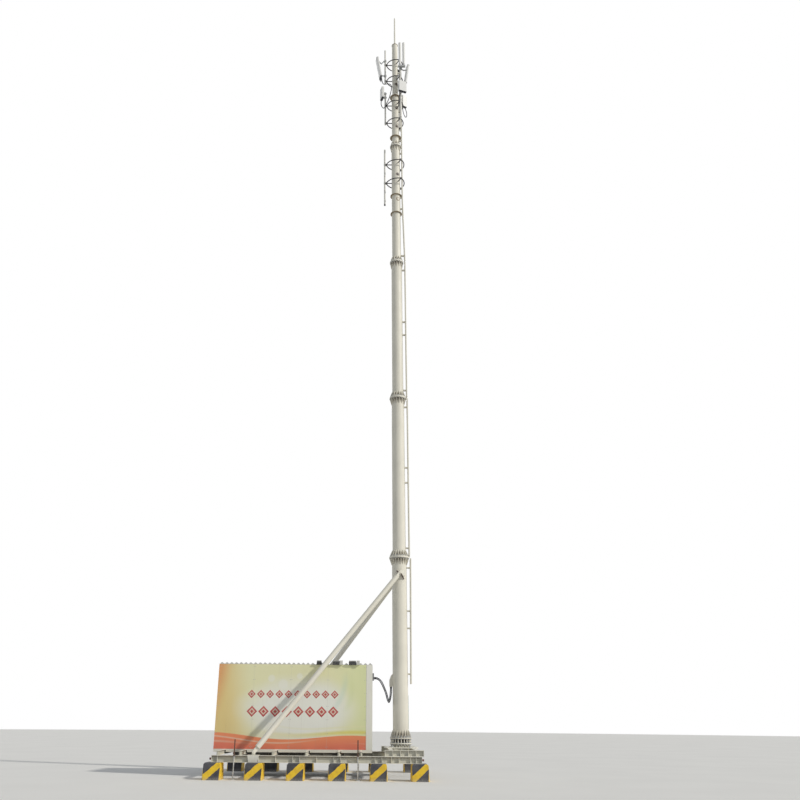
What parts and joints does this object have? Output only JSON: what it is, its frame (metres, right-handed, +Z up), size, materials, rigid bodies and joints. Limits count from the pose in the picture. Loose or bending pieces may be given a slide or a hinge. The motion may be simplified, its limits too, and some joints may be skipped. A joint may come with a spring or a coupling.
{
  "type": "monopole cell tower",
  "caption": "relocatable flanged monopole on a ballasted beam frame, with raking braces, ladder, antennas on bowed hoops and a walled equipment cabin beside it",
  "frame": {"origin": "on the ground, in the middle of the ballast footprint", "axes": "+X along the two long beams towards the pole, +Y to the rear, away from the printed boards, +Z up along the pole"},
  "size_m": [5.515, 4.4, 27.346],
  "materials": {
    "concrete": "matte",
    "frame_paint": "satin",
    "pole_paint": "satin",
    "green_paint": "matte",
    "dark_paint": "matte",
    "bare_steel": "matte",
    "radome": "satin",
    "floor_board": "matte",
    "wall_panel": "satin",
    "printed_board": "satin",
    "plain_board": "satin",
    "grey_paint": "satin",
    "cable_rubber": "matte"
  },
  "bodies": {
    "root": {"ballast_blocks": "concrete", "long_beams": "frame_paint", "cross_joists": "frame_paint", "end_girders": "frame_paint", "cross_girders": "frame_paint", "pedestal": "frame_paint", "anchor_studs": "bare_steel", "pole_section_1": "pole_paint", "pole_section_2": "pole_paint", "pole_section_3": "pole_paint", "pole_section_4": "pole_paint", "pole_section_5": "pole_paint", "ring_plates": "pole_paint", "port_covers": "dark_paint", "pole_cap": "pole_paint", "lightning_rod": "pole_paint", "ladder": "pole_paint", "earth_strip": "green_paint", "lower_hoops": "dark_paint", "upper_hoops": "dark_paint", "antenna_pipes": "pole_paint", "antenna_brackets": "bare_steel", "rod_antennas": "radome", "panel_antennas": "radome", "radio_boxes": "radome", "connectors": "cable_rubber", "jumper_cables": "cable_rubber", "front_brace": "pole_paint", "rear_brace": "pole_paint", "brace_brackets": "frame_paint", "levelling_jacks": "bare_steel", "cabin_skid": "frame_paint", "cabin_floor": "floor_board", "long_walls": "wall_panel", "end_walls": "wall_panel", "cabin_roof": "wall_panel", "roof_sheet": "wall_panel", "printed_boards": "printed_board", "plain_strip": "plain_board", "floodlights": "dark_paint", "cable_entries": "grey_paint", "feeder_1": "cable_rubber", "feeder_2": "cable_rubber", "feeder_3": "cable_rubber"}
  },
  "joints": []
}
